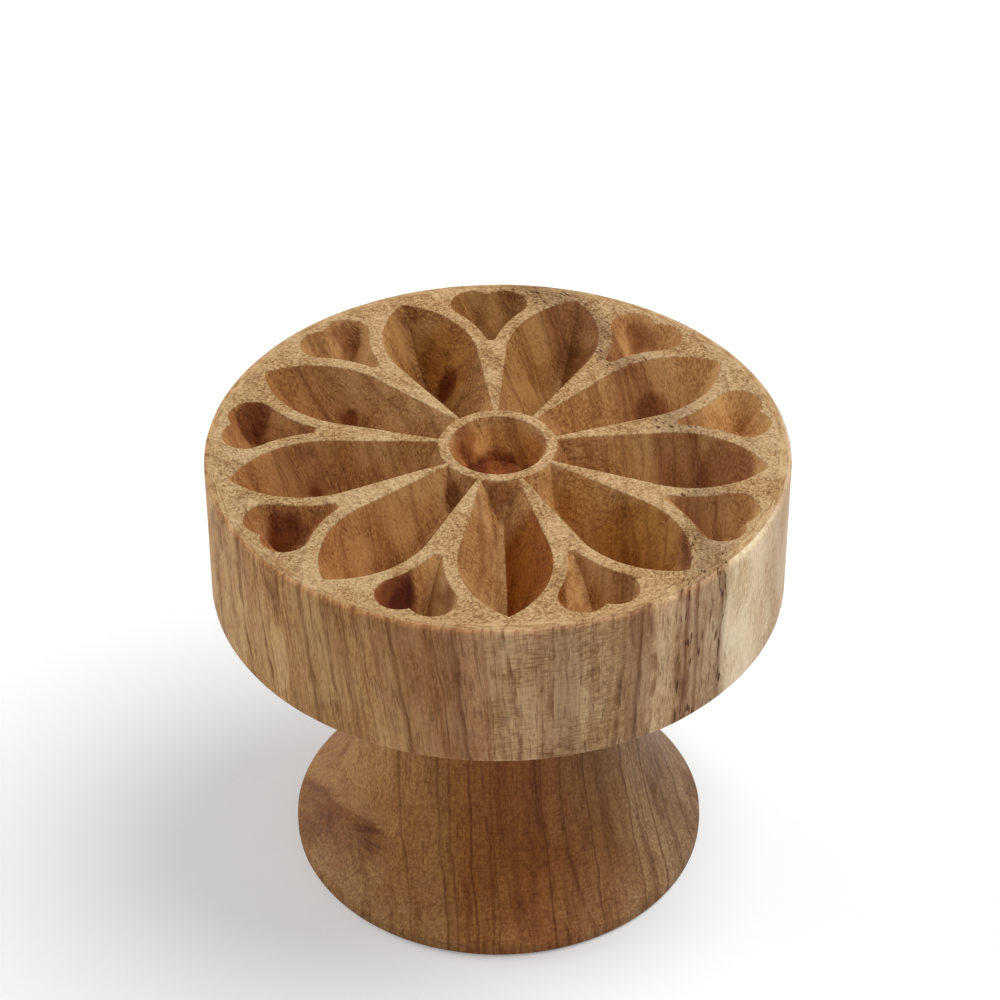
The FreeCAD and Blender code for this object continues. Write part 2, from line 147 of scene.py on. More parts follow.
# A petal's side is an arc from its point round its widest place, then a straight flank.
petal_arc = ((PETAL_TIP - PETAL_BELLY) ** 2 + PETAL_HALF ** 2) / (2 * PETAL_HALF)
arc_drop = petal_arc - PETAL_HALF
flank_run, flank_rise = PETAL_BELLY - RING, arc_drop + ROOT_HALF
flank_turn = asin(petal_arc / hypot(flank_run, flank_rise)) - atan2(flank_rise, flank_run)
flank_end = (PETAL_BELLY - petal_arc * sin(flank_turn), petal_arc * cos(flank_turn) - arc_drop)


def petal_side(x, y):
    """Distance inside a petal's side, for a petal along X."""
    y = abs(y)
    if atan2(y + arc_drop, x - PETAL_BELLY) < pi / 2 + flank_turn:
        return petal_arc - hypot(x - PETAL_BELLY, y + arc_drop)
    return (flank_end[1] - y) * cos(flank_turn) + (x - flank_end[0]) * sin(flank_turn)


def petal_room(x, y):
    """Distance inside a petal, which ends at the ring of wood round the dimple."""
    return min(petal_side(x, y), hypot(x, y) - RING)


# A heart's outline is a small arc at its tip, a hollow side and a round lobe.
LOBE, LOBE_OUT, LOBE_ACROSS = 2.9, 30.2, 1.95
TIP, TIP_OUT = 0.7, 22.7
SIDE = 13.8
notch_out = LOBE_OUT + sqrt(LOBE ** 2 - LOBE_ACROSS ** 2)
tip_to_lobe = hypot(LOBE_OUT - TIP_OUT, LOBE_ACROSS)
side_turn = atan2(LOBE_ACROSS, LOBE_OUT - TIP_OUT) + acos(
    (tip_to_lobe ** 2 + (SIDE + TIP) ** 2 - (SIDE + LOBE) ** 2) / (2 * tip_to_lobe * (SIDE + TIP)))
side_out = TIP_OUT + (SIDE + TIP) * cos(side_turn)
side_across = (SIDE + TIP) * sin(side_turn)


def left_of(x, y, start, finish):
    """Whether a place lies to the left of the line from start to finish."""
    return (finish[0] - start[0]) * (y - start[1]) - (finish[1] - start[1]) * (x - start[0]) > 0


def heart_room(x, y):
    """Distance inside a heart along X, with its tip nearest the middle of the face."""
    y = abs(y)
    lobe, side = (LOBE_OUT, LOBE_ACROSS), (side_out, side_across)
    if not left_of(x, y, lobe, side) or not left_of(x, y, (notch_out, 0), lobe):
        return LOBE - hypot(x - LOBE_OUT, y - LOBE_ACROSS)
    if left_of(x, y, (TIP_OUT, 0), side):
        return TIP - hypot(x - TIP_OUT, y)
    return min(hypot(x - side_out, y - side_across) - SIDE, hypot(x - notch_out, y))


# An outline is a list of places, each with the direction that leads into the pocket.
def arc_places(centre, radius, start, finish, inward, spacing):
    count = max(2, ceil(abs(finish - start) * radius / spacing))
    places = []
    for step in range(count + 1):
        angle = start + (finish - start) * step / count
        way = (cos(angle), sin(angle))
        places.append((centre[0] + radius * way[0], centre[1] + radius * way[1],
                       inward * way[0], inward * way[1]))
    return places


def angle_to(start, finish):
    return atan2(finish[1] - start[1], finish[0] - start[0])


# The petal's side meets the ring where its straight flank crosses the ring's circle.
flank_way = (cos(flank_turn), sin(flank_turn))
flank_in = (sin(flank_turn), -cos(flank_turn))
along = flank_end[0] * flank_way[0] + flank_end[1] * flank_way[1]
off = hypot(*flank_end) ** 2 - along ** 2
flank_length = along - sqrt(RING ** 2 - off)
root = (flank_end[0] - flank_way[0] * flank_length, flank_end[1] - flank_way[1] * flank_length)
steps = ceil(flank_length / 0.55)
flank_places = [(root[0] + flank_way[0] * flank_length * step / steps,
                 root[1] + flank_way[1] * flank_length * step / steps, *flank_in)
                for step in range(steps + 1)]
arc_centre = (PETAL_BELLY, -arc_drop)
petal_outline = flank_places + arc_places(
    arc_centre, petal_arc, pi / 2 + flank_turn, angle_to(arc_centre, (PETAL_TIP, 0)),
    inward=-1, spacing=0.5)[1:]
ring_outline = arc_places((0, 0), RING, 0, atan2(root[1], root[0]), inward=1, spacing=0.35)

tip_centre, side_centre = (TIP_OUT, 0), (side_out, side_across)
lobe_centre, notch = (LOBE_OUT, LOBE_ACROSS), (notch_out, 0)
lobe_start = angle_to(side_centre, lobe_centre)
heart_outline = (
    arc_places(tip_centre, TIP, pi, angle_to(tip_centre, side_centre), inward=-1, spacing=0.14)
    + arc_places(side_centre, SIDE, angle_to(side_centre, tip_centre), lobe_start,
                 inward=1, spacing=0.45)[1:]
    + arc_places(lobe_centre, LOBE, lobe_start + pi, angle_to(lobe_centre, notch),
                 inward=-1, spacing=0.3)[1:])


# One half of the rosette's repeat, from a petal's axis to the next heart's axis. Its points
# are the rows that run along the outlines, the creases where walls meet, and the flat land.
points, heights, edges = [], [], []
found = {}
on_petal_axis, on_heart_axis = set(), set()


def put(x, y, height, heart=False):
    """Adds a point, given in the petal's or the heart's own direction."""
    on_axis = abs(y) < 1e-6
    if heart:
        across = -abs(y)
        x, y = (x * cos(HALF_PITCH) - across * sin(HALF_PITCH),
                x * sin(HALF_PITCH) + across * cos(HALF_PITCH))
    key = (round(x, 4), round(y, 4))
    if key not in found:
        found[key] = len(points)
        points.append((x, y))
        heights.append(height)
    if on_axis:
        (on_heart_axis if heart else on_petal_axis).add(found[key])
    return found[key]


def join(line):
    """Keeps the lines between neighbouring points as edges of the mesh."""
    edges.extend((a, b) for a, b in zip(line, line[1:]) if a != b)


# The edge between the face and a wall is rounded, and the wall falls straight from there.
ARRIS_TURNS = [radians(60) * step / 4 for step in range(5)]
ROWS = [(ARRIS * (sin(turn) - tan(radians(30))), ARRIS * (cos(turn) - 1)) for turn in ARRIS_TURNS]
ROWS += [(inside, -inside * WALL_FALL) for inside in
         (0.35, 0.7, 1.1, 1.6, 2.1, 2.6, 3.1, 3.6, 4.1, 4.6, 5.0)]


def floor_half(x):
    """Half the width of a petal's floor, which narrows towards the petal's point."""
    return min(FLOOR_HALF, FLOOR_TAPER * max(petal_side(x, 0.0), 0.0))


def draw_rows(outline, room, clear, heart):
    """Draws the rows down a wall, each up to where another wall or the floor takes over."""
    for inside, height in ROWS:
        line = []
        for x, y, way_x, way_y in outline:
            px, py = x + way_x * inside, y + way_y * inside
            py = 0.0 if abs(py) < 1e-6 else py
            at_tip = heart and inside > 0.3 and px < TIP_OUT + 0.1
            fits = py > clear(px) + 0.06 or (py == 0.0 and not at_tip)
            if fits and abs(room(px, py) - inside) < 2e-3:
                line.append(put(px, py, height, heart))
            else:
                join(line)
                line = []
        join(line)


def crease_from(place, room, longest):
    """Where the wall that starts at this place meets another one, and how far in that is."""
    x, y, way_x, way_y = place
    low, high = 0.0, longest
    for _ in range(40):
        middle = (low + high) / 2
        if room(x + way_x * middle, y + way_y * middle) > middle - 1e-5:
            low = middle
        else:
            high = middle
    return x + way_x * low, y + way_y * low, low


draw_rows(petal_outline, petal_room, floor_half, False)
draw_rows(ring_outline, petal_room, floor_half, False)
draw_rows(heart_outline, heart_room, lambda x: FLOOR_HALF, True)

# The petal's end wall meets its side in a crease, which runs down to the narrow floor.
crease = []
for place in reversed(ring_outline[1:-1]):
    x, y, deep = crease_from(place, petal_room, 4.0)
    if y > floor_half(x) + 0.02 and deep > 0.05:
        crease.append(put(x, y, -deep * WALL_FALL))
join(crease)
floor_start = RING + 0.12
while petal_side(floor_start, floor_half(floor_start)) > hypot(floor_start, 0.1) - RING:
    floor_start += 0.02
floor_edge = []
for step in range(61):
    x = floor_start + (PETAL_TIP - 0.03 - floor_start) * step / 60
    height = -petal_room(x, floor_half(x)) * WALL_FALL
    floor_edge.append(put(x, floor_half(x), height))
    put(x, 0.0, height)
join(floor_edge)
put(PETAL_TIP + 0.24, 0.0, 0.0)

# In a heart the floor runs from the tip to the middle, and from there into both lobes.
fan_start = angle_to(notch, lobe_centre)
branch = [crease_from((*notch, cos(angle), sin(angle)), heart_room, 5.0)
          for angle in [fan_start + (pi - fan_start) * step / 8 for step in range(9)]]
middle_out = branch[-1][0]
TIP_FLOOR = 0.4
tip_turn = asin(FLOOR_HALF / TIP_FLOOR)
edge_line = [put(TIP_OUT - TIP_FLOOR * cos(turn), TIP_FLOOR * sin(turn),
                 -FLOOR_HALF * WALL_FALL, True)
             for turn in (0.0, 0.42, tip_turn)]
floor_from = TIP_OUT - TIP_FLOOR * cos(tip_turn)
for step in range(1, 25):
    x = floor_from + (middle_out - floor_from) * step / 24
    height = -max(heart_room(x, FLOOR_HALF), FLOOR_HALF) * WALL_FALL
    put(x, 0.0, height, True)
    if x < middle_out - FLOOR_HALF:
        edge_line.append(put(x, FLOOR_HALF, height, True))
join(edge_line)
middle_height = -heart_room(middle_out - FLOOR_HALF, FLOOR_HALF) * WALL_FALL
for side in (-1, 0, 1):
    line = []
    for (x, y, deep), (x2, y2, _) in zip(branch, branch[1:]):
        length = hypot(x2 - x, y2 - y)
        px = x - side * FLOOR_HALF * (y2 - y) / length
        py = y + side * FLOOR_HALF * (x2 - x) / length
        if py > FLOOR_HALF * 0.8:
            height = max(-(deep - FLOOR_HALF * 0.9) * WALL_FALL, middle_height)
            line.append(put(px, py, height, True))
    join(line)
for step in range(1, 8):
    x = middle_out + (notch_out - middle_out) * step / 8
    put(x, 0.0, -min(heart_room(x, 0.0), -middle_height / WALL_FALL) * WALL_FALL, True)
put(notch_out, 0.0, -0.05, True)
put(notch_out + 0.3, 0.0, 0.0, True)

# The dimple is a round pocket with the same slope and a flat floor.
FACE_EDGE = HEAD_RADIUS - FACE_ROUND
COLUMNS = 18
dimple_floor = DIMPLE_MOUTH - DIMPLE_DEPTH / WALL_FALL
dimple_rows = [(DIMPLE_MOUTH - inside, height) for inside, height in ROWS
               if DIMPLE_MOUTH - inside > dimple_floor + 0.2]
dimple_rows += [(dimple_floor + 0.04, -DIMPLE_DEPTH + 0.03), (dimple_floor - 0.12, -DIMPLE_DEPTH)]
dimple_rows += [(radius, -DIMPLE_DEPTH) for radius in (2.2, 1.4, 0.7)]
for radius, height in dimple_rows:
    columns = max(2, round(COLUMNS * min(1.0, radius / 5)))
    line = []
    for step in range(columns + 1):
        angle = HALF_PITCH * step / columns
        if step == columns:
            line.append(put(radius, 0.0, height, True))
        else:
            line.append(put(radius * cos(angle), radius * sin(angle), height))
    join(line)
centre = put(0.0, 0.0, -DIMPLE_DEPTH)
on_heart_axis.add(centre)

# The land between the pockets.
LAND_STEP, LAND_CLEAR = 0.8, 0.5
radius = RING + LAND_CLEAR
while radius < FACE_EDGE - LAND_STEP / 2:
    columns = max(2, round(HALF_PITCH * radius / LAND_STEP))
    for step in range(columns + 1):
        angle = HALF_PITCH * step / columns
        x, y = radius * cos(angle), radius * sin(angle)
        heart_x, heart_y = radius * cos(angle - HALF_PITCH), radius * sin(angle - HALF_PITCH)
        if petal_room(x, y) < -LAND_CLEAR and heart_room(heart_x, heart_y) < -LAND_CLEAR:
            if step == columns:
                put(radius, 0.0, 0.0, True)
            else:
                put(x, 0.0 if step == 0 else y, 0.0)
    radius += LAND_STEP
rim_line = []
for step in range(COLUMNS + 1):
    angle = HALF_PITCH * step / COLUMNS
    if step == COLUMNS:
        rim_line.append(put(FACE_EDGE, 0.0, 0.0, True))
    else:
        rim_line.append(put(FACE_EDGE * cos(angle), FACE_EDGE * sin(angle), 0.0))

border = sorted(on_petal_axis - {centre}, key=lambda index: points[index][0])
border += rim_line[1:-1]
border += sorted(on_heart_axis - {centre}, key=lambda index: -hypot(*points[index]))
border.append(centre)
flat_points, _, triangles, origins, _, _ = delaunay_2d_cdt(
    [Vector(place) for place in points], edges, [border], 1, 1e-5)
carved = []
for place, sources in zip(flat_points, origins):
    height = heights[sources[0]] if sources else None
    if height is None:
        turned = (place.x * cos(HALF_PITCH) + place.y * sin(HALF_PITCH),
                  place.y * cos(HALF_PITCH) - place.x * sin(HALF_PITCH))
        deepest = max(petal_room(*place), heart_room(*turned), 0.0)
        height = -deepest * WALL_FALL
    carved.append((place.x, place.y, height))

# The rim, the underside and the dowel's hole belong to the same repeat.
turned_rows = [(FACE_EDGE + FACE_ROUND * sin(turn), FACE_ROUND * (cos(turn) - 1))
               for turn in [radians(90) * step / 6 for step in range(1, 7)]]
turned_rows += [(HEAD_RADIUS, -FACE_ROUND - RIM_HEIGHT * step / 14) for step in range(1, 15)]
turned_rows += [(HEAD_RADIUS - BACK_ROUND * (1 - cos(turn)),
                 -HEAD_THICKNESS + BACK_ROUND - BACK_ROUND * sin(turn))
                for turn in [radians(90) * step / 4 for step in range(1, 5)]]
turned_rows += [(radius, -HEAD_THICKNESS)
                for radius in (30.0, 25.0, 21.0, 15.0, 10.0, DOWEL_HOLE)]
turned_rows += [(DOWEL_HOLE, height) for height in (-16.0, -12.0, HOLE_CEILING)]
sector = bmesh.new()
for x, y, height in carved:
    sector.verts.new((x, y, height))
sector.verts.ensure_lookup_table()
for triangle in triangles:
    sector.faces.new([sector.verts[index] for index in triangle])
where = {(round(v.co.x, 4), round(v.co.y, 4)): v for v in sector.verts}
above = [where[tuple(round(c, 4) for c in points[index])] for index in rim_line]
for radius, height in turned_rows:
    below = [sector.verts.new((radius * cos(HALF_PITCH * step / COLUMNS),
                               radius * sin(HALF_PITCH * step / COLUMNS), height))
             for step in range(COLUMNS + 1)]
    for step in range(COLUMNS):
        sector.faces.new((above[step], below[step], below[step + 1], above[step + 1]))
    above = below
hole_top = sector.verts.new((0.0, 0.0, turned_rows[-1][1]))
for step in range(COLUMNS):
    sector.faces.new((above[step], hole_top, above[step + 1]))
mirrored = bmesh.ops.duplicate(sector, geom=sector.verts[:] + sector.faces[:])["geom"]
for item in mirrored:
    if isinstance(item, bmesh.types.BMVert):
        item.co.y = -item.co.y
bmesh.ops.scale(sector, vec=(0.001, 0.001, 0.001), verts=sector.verts)
bmesh.ops.translate(sector, vec=(0, 0, FACE_HEIGHT), verts=sector.verts)
bmesh.ops.remove_doubles(sector, verts=sector.verts, dist=2e-6)
bmesh.ops.recalc_face_normals(sector, faces=sector.faces)
repeat_mesh = bpy.data.meshes.new("carved_repeat")
sector.to_mesh(repeat_mesh)
sector.free()


def number(tree, operation, first, second=None, third=None):
    """A Math node. Each entry is a number or a socket."""
    node = tree.nodes.new("ShaderNodeMath")
    node.operation = operation
    for socket, entry in zip(node.inputs, (first, second, third)):
        if isinstance(entry, bpy.types.NodeSocket):
            tree.links.new(entry, socket)
        elif entry is not None:
            socket.default_value = entry
    return node.outputs[0]


def times(tree, first, second):
    return number(tree, "MULTIPLY", first, second)


# The whole head is that repeat, set nine times round the axis.
round_tree = bpy.data.node_groups.new("set_round_the_axis", "GeometryNodeTree")
for socket_name, kind, usual in (("Repeat", "NodeSocketGeometry", None),
                                 ("Count", "NodeSocketInt", PETALS),
                                 ("First Direction", "NodeSocketFloat", 0.0),
                                 ("Wood", "NodeSocketMaterial", None)):
    socket = round_tree.interface.new_socket(socket_name, in_out="INPUT", socket_type=kind)
    if usual is not None:
        socket.default_value = usual
round_tree.interface.new_socket("Whole", in_out="OUTPUT", socket_type="NodeSocketGeometry")
nodes, links = round_tree.nodes, round_tree.links
given, whole = nodes.new("NodeGroupInput"), nodes.new("NodeGroupOutput")
spots = nodes.new("GeometryNodePoints")
links.new(given.outputs["Count"], spots.inputs["Count"])
which = nodes.new("GeometryNodeInputIndex")
share = number(round_tree, "DIVIDE", which.outputs[0], given.outputs["Count"])
turn = number(round_tree, "MULTIPLY_ADD", share, 2 * pi, given.outputs["First Direction"])
turned = nodes.new("ShaderNodeCombineXYZ")
links.new(turn, turned.inputs["Z"])
placed = nodes.new("GeometryNodeInstanceOnPoints")
links.new(spots.outputs[0], placed.inputs["Points"])
links.new(given.outputs["Repeat"], placed.inputs["Instance"])
links.new(turned.outputs[0], placed.inputs["Rotation"])
real = nodes.new("GeometryNodeRealizeInstances")
links.new(placed.outputs[0], real.inputs[0])
finish_wood = nodes.new("GeometryNodeSetMaterial")
links.new(real.outputs[0], finish_wood.inputs["Geometry"])
links.new(given.outputs["Wood"], finish_wood.inputs["Material"])
links.new(finish_wood.outputs[0], whole.inputs[0])


# All the wood of the stamp. Its fibres and pores run up the axis, so a pore is a dot on the
# face and a dark dash on the sides. The growth layers curve round the tree's heart, which lay
# to the left of the blank, and a layer's number is its place along X in millimetres.
def arrow(tree, x, y, z):
    """A vector from three numbers or sockets."""
    node = tree.nodes.new("ShaderNodeCombineXYZ")
    for socket, entry in zip(node.inputs, (x, y, z)):
        if isinstance(entry, bpy.types.NodeSocket):
            tree.links.new(entry, socket)
        else:
            socket.default_value = entry
    return node.outputs[0]


def apart(tree, vector):
    """The three numbers of a vector."""
    node = tree.nodes.new("ShaderNodeSeparateXYZ")
    tree.links.new(vector, node.inputs[0])
    return node.outputs


def speckle(tree, vector, detail=2.0, roughness=0.5):
    """Smooth noise about one unit across, from 0 to 1."""
    node = tree.nodes.new("ShaderNodeTexNoise")
    node.inputs["Scale"].default_value = 1.0
    node.inputs["Detail"].default_value = detail
    node.inputs["Roughness"].default_value = roughness
    tree.links.new(vector, node.inputs["Vector"])
    return node.outputs["Fac"]


def graded(tree, value, low, high, bottom=0.0, top=1.0):
    """Rises smoothly from bottom to top as the value goes from low to high."""
    node = tree.nodes.new("ShaderNodeMapRange")
    node.interpolation_type = "SMOOTHSTEP"
    for name, entry in (("From Min", low), ("From Max", high), ("To Min", bottom), ("To Max", top)):
        if isinstance(entry, bpy.types.NodeSocket):
            tree.links.new(entry, node.inputs[name])
        else:
            node.inputs[name].default_value = entry
    tree.links.new(value, node.inputs["Value"])
    return node.outputs["Result"]


grain = bpy.data.node_groups.new("upright_grain", "ShaderNodeTree")
grain.interface.new_socket("Vector", in_out="INPUT", socket_type="NodeSocketVector")
for socket_name, usual in (("Heart X", -53.5), ("Heart Y", -15.0), ("Tilt", 0.0), ("Spread", 0.0),
                           ("Wander", 2.2), ("Ring Width", 3.4), ("Pore Length", 3.0)):
    grain.interface.new_socket(
        socket_name, in_out="INPUT", socket_type="NodeSocketFloat").default_value = usual
for socket_name in ("Layer", "Rings", "Streaks", "Hairlines", "Dashes", "Ripple", "Mottle",
                    "Clouds"):
    grain.interface.new_socket(socket_name, in_out="OUTPUT", socket_type="NodeSocketFloat")
given = grain.nodes.new("NodeGroupInput").outputs
result = grain.nodes.new("NodeGroupOutput").inputs
x, y, z = [times(grain, axis, 1000.0) for axis in apart(grain, given["Vector"])]


def stretched(along, across, up, first=None, detail=2.0, roughness=0.5):
    """Noise whose spots are this long in mm, along X or across the layers, along Y and up."""
    place = arrow(grain, number(grain, "DIVIDE", x if first is None else first, along),
                  number(grain, "DIVIDE", y, across), number(grain, "DIVIDE", z, up))
    return speckle(grain, place, detail, roughness)


wide, near = stretched(17.0, 17.0, 40.0), stretched(2.4, 2.4, 6.0, detail=3.0)
shift = times(grain, number(grain, "SUBTRACT", wide, 0.5), given["Wander"])
shift = number(grain, "MULTIPLY_ADD", number(grain, "SUBTRACT", near, 0.5), 0.9, shift)
spread = times(grain, graded(grain, z, 30.0, 0.0), given["Spread"])
narrowed = number(grain, "DIVIDE", x, number(grain, "ADD", 1.0, spread))
aside = number(grain, "SUBTRACT", narrowed, given["Heart X"])
before = number(grain, "SUBTRACT", y, given["Heart Y"])
layer = number(grain, "SQRT", number(grain, "ADD", times(grain, aside, aside),
                                     times(grain, before, before)))
lean = times(grain, graded(grain, x, 10.0, -12.0), given["Tilt"])
layer = number(grain, "MULTIPLY_ADD", number(grain, "SUBTRACT", z, 54.0), lean, layer)
layer = number(grain, "ADD", layer, number(grain, "ADD", given["Heart X"], shift))
grain.links.new(layer, result["Layer"])
uneven = stretched(7.0, 16.0, 70.0, layer)
ring = number(grain, "ADD", number(grain, "DIVIDE", layer, given["Ring Width"]),
              times(grain, uneven, 3.0))
step_in = number(grain, "FRACT", ring)
odd = grain.nodes.new("ShaderNodeTexWhiteNoise")
odd.noise_dimensions = "1D"
grain.links.new(number(grain, "FLOOR", ring), odd.inputs["W"])
broken = graded(grain, stretched(1.3, 3.0, 3.2, layer), 0.36, 0.60, 0.15, 1.0)
ring_line = times(grain, graded(grain, step_in, 0.70, 0.93), graded(grain, step_in, 1.0, 0.955))
chance = graded(grain, odd.outputs["Value"], 0.0, 0.6)
ring_line = times(grain, ring_line, times(grain, broken, chance))
grain.links.new(ring_line, result["Rings"])
grain.links.new(stretched(1.5, 9.0, 55.0, layer, 4.0, 0.62), result["Streaks"])
grain.links.new(stretched(0.24, 1.2, 11.0, layer, 2.0, 0.6), result["Hairlines"])
dash = stretched(0.34, 0.8, given["Pore Length"], layer, 1.0)
grain.links.new(graded(grain, dash, 0.60, 0.68), result["Dashes"])
grain.links.new(stretched(1.5, 0.6, 0.27), result["Ripple"])
grain.links.new(stretched(0.30, 0.30, 0.8, roughness=0.6), result["Mottle"])
grain.links.new(stretched(5.0, 5.0, 9.0, detail=3.0), result["Clouds"])


def new_wood(name, **sizes):
    """A material with the grain group in it, placed by the piece's own coordinates."""
    material = bpy.data.materials.new(name)
    material.use_nodes = True
    tree = material.node_tree
    place = tree.nodes.new("ShaderNodeTexCoord").outputs["Object"]
    group = tree.nodes.new("ShaderNodeGroup")
    group.node_tree = grain
    for socket_name, value in sizes.items():
        group.inputs[socket_name.replace("_", " ")].default_value = value
    tree.links.new(place, group.inputs["Vector"])
    return material, tree, place, group.outputs


def linear(shade):
    """An sRGB colour, 0 to 255, as the renderer's own numbers."""
    return [(c / 255 / 12.92) if c <= 10 else ((c / 255 + 0.055) / 1.055) ** 2.4 for c in shade]


def layer_colours(tree, layer, stops):
    """Colours that change from layer to layer. Each stop is a layer in mm and its colour."""
    first, last = stops[0][0], stops[-1][0]
    node = tree.nodes.new("ShaderNodeValToRGB")
    while len(node.color_ramp.elements) < len(stops):
        node.color_ramp.elements.new(0.5)
    for element, (place, shade) in zip(node.color_ramp.elements, stops):
        element.position = (place - first) / (last - first)
        element.color = [*linear(shade), 1.0]
    tree.links.new(number(tree, "DIVIDE", number(tree, "SUBTRACT", layer, first), last - first),
                   node.inputs["Fac"])
    return node.outputs["Color"]


def tint(tree, kind, factor, under, over):
    """Lays one colour over another. Each may be a socket or an sRGB colour."""
    node = tree.nodes.new("ShaderNodeMix")
    node.data_type = "RGBA"
    node.blend_type = kind
    sockets = (node.inputs[0], node.inputs[6], node.inputs[7])
    for socket, entry in zip(sockets, (factor, under, over)):
        if isinstance(entry, bpy.types.NodeSocket):
            tree.links.new(entry, socket)
        elif isinstance(entry, tuple):
            socket.default_value = [*linear(entry), 1.0]
        else:
            socket.default_value = entry
    return node.outputs[2]


def how_far(tree, place, spot):
    """Distance in metres from a spot that is given in millimetres."""
    node = tree.nodes.new("ShaderNodeVectorMath")
    node.operation = "DISTANCE"
    tree.links.new(place, node.inputs[0])
    node.inputs[1].default_value = [length / 1000 for length in spot]
    return node.outputs["Value"]


def marked(tree, layer, marks, wood):
    """Dark year lines. Each is a layer in mm, half its width, and how dark it is."""
    total = 0.0
    for place, half, dark in marks:
        line = times(tree, graded(tree, layer, place - half, place, 0.0, dark),
                     graded(tree, layer, place + half * 0.5, place))
        total = line if total == 0.0 else number(tree, "MAXIMUM", total, line)
    return times(tree, total, graded(tree, wood["Mottle"], 0.30, 0.60, 1.0, 0.55))


def wood_surface(tree, colour, relief_height, roughness, deep, gloss):
    """Joins the colour, the sheen and the fine relief to the material's own shader."""
    shader = tree.nodes["Principled BSDF"]
    tree.links.new(colour, shader.inputs["Base Color"])
    tree.links.new(roughness, shader.inputs["Roughness"])
    shader.inputs["Specular IOR Level"].default_value = gloss
    relief = tree.nodes.new("ShaderNodeBump")
    relief.inputs["Strength"].default_value = 0.5
    relief.inputs["Distance"].default_value = deep
    tree.links.new(relief_height, relief.inputs["Height"])
    tree.links.new(relief.outputs[0], shader.inputs["Normal"])


# The head's own wood: pale end grain on the face, browner where the cutter has opened the
# pockets, and upright streaks round the rim, with dark broken lines beside pale sapwood on the
# right and a rippled patch in front.
head_wood, tree, place, wood = new_wood("head_wood", Tilt=0.13, Wander=2.2)
x, y, z = apart(tree, place)
out = number(tree, "SQRT", number(tree, "ADD", times(tree, x, x), times(tree, y, y)))
on_face = graded(tree, z, FACE_HEIGHT - 0.00020, FACE_HEIGHT - 0.00008)
inside_rim = graded(tree, out, 0.0341, 0.0337)
in_pocket = times(tree, inside_rim, number(tree, "SUBTRACT", 1.0, on_face))
in_pocket = times(tree, in_pocket, graded(tree, z, 0.0440, 0.0470))
layer = wood["Layer"]
rim_colour = layer_colours(tree, layer, [
    (-36, (212, 172, 120)), (-24, (228, 182, 124)), (-20.8, (212, 166, 112)),
    (-15, (226, 178, 120)), (-11, (228, 178, 122)), (-8.4, (206, 154, 102)),
    (-4.5, (216, 164, 112)), (-2.8, (196, 144, 104)), (-0.5, (224, 172, 124)),
    (2.5, (240, 198, 150)), (7.6, (228, 186, 142)), (9.4, (202, 162, 122)),
    (11.2, (226, 188, 144)), (15.3, (216, 178, 136)), (16.3, (200, 160, 122)),
    (17.3, (206, 166, 128)), (18.0, (242, 206, 166)), (20.2, (234, 198, 158)),
    (20.9, (216, 178, 140)), (23.0, (206, 170, 136)), (23.6, (218, 186, 150)),
    (24.6, (208, 176, 142)), (25.7, (210, 184, 150)), (26.2, (255, 236, 200)),
    (29.5, (250, 228, 192)), (32, (224, 198, 166)), (40, (206, 180, 148))])
face_colour = layer_colours(tree, layer, [
    (-36, (188, 160, 118)), (14, (196, 162, 118)), (20, (190, 158, 114)), (22.5, (154, 126, 91)),
    (25.5, (168, 139, 103)), (27.5, (190, 158, 116)), (40, (192, 164, 124))])
pocket_colour = layer_colours(tree, layer, [
    (-36, (178, 128, 78)), (-14, (178, 128, 76)), (-4, (188, 144, 92)), (2, (206, 162, 108)),
    (4.5, (196, 150, 96)), (9, (192, 146, 92)), (13, (190, 144, 90)), (19.6, (188, 144, 92)),
    (21, (162, 113, 69)), (24.8, (165, 118, 73)), (26.4, (186, 141, 90)), (28.5, (204, 158, 103)),
    (33, (210, 165, 109)), (40, (186, 142, 86))])
dark_zone = times(tree, graded(tree, layer, 20.3, 20.9), graded(tree, layer, 26.1, 25.6))
pale_strip = times(tree, graded(tree, layer, 22.9, 23.4), graded(tree, layer, 24.8, 24.4))
dark_zone = times(tree, dark_zone, number(tree, "MULTIPLY_ADD", pale_strip, -0.7, 1.0))
in_open = number(tree, "MULTIPLY_ADD", in_pocket, -0.75, 1.0)
year_lines = marked(tree, layer, [
    (-20.5, 0.7, 0.9), (-17.2, 0.25, 0.5), (-15.1, 0.45, 0.8), (-13.4, 0.25, 0.55),
    (-11.6, 0.3, 0.4), (-9.2, 0.7, 1.0), (-4.4, 0.35, 0.9), (-2.2, 0.7, 0.8), (7.4, 0.2, 0.5),
    (10.9, 0.3, 0.5), (13.9, 0.4, 0.35), (16.7, 0.6, 0.8), (21.4, 0.5, 0.6), (22.6, 0.5, 1.0),
    (25.2, 0.35, 0.75)], wood)
ring_mask = number(tree, "MAXIMUM", times(tree, wood["Rings"], 0.8), year_lines)
ring_mask = times(tree, ring_mask, number(tree, "MULTIPLY_ADD", inside_rim, -0.35, 0.92))
old_wood = graded(tree, layer, 26.8, 26.0, 0.15, 1.0)
ring_mask = times(tree, ring_mask, old_wood)
streak_mask = times(tree, graded(tree, wood["Streaks"], 0.46, 0.68),
                    number(tree, "MULTIPLY_ADD", dark_zone, 0.3, 0.50))
streak_mask = times(tree, streak_mask, old_wood)
hair_mask = times(tree, graded(tree, wood["Hairlines"], 0.45, 0.72),
                  number(tree, "MULTIPLY_ADD", inside_rim, -0.34, 0.42))
hair_mask = times(tree, hair_mask, number(tree, "MAXIMUM", old_wood, inside_rim))
dash_mask = times(tree, times(tree, wood["Dashes"], in_open),
                  number(tree, "MULTIPLY_ADD", dark_zone, 0.65, 0.35))
dash_mask = times(tree, dash_mask, number(tree, "MAXIMUM", old_wood, inside_rim))
rippled = times(tree, graded(tree, layer, -3.0, 7.0), graded(tree, layer, 19.0, 10.0))
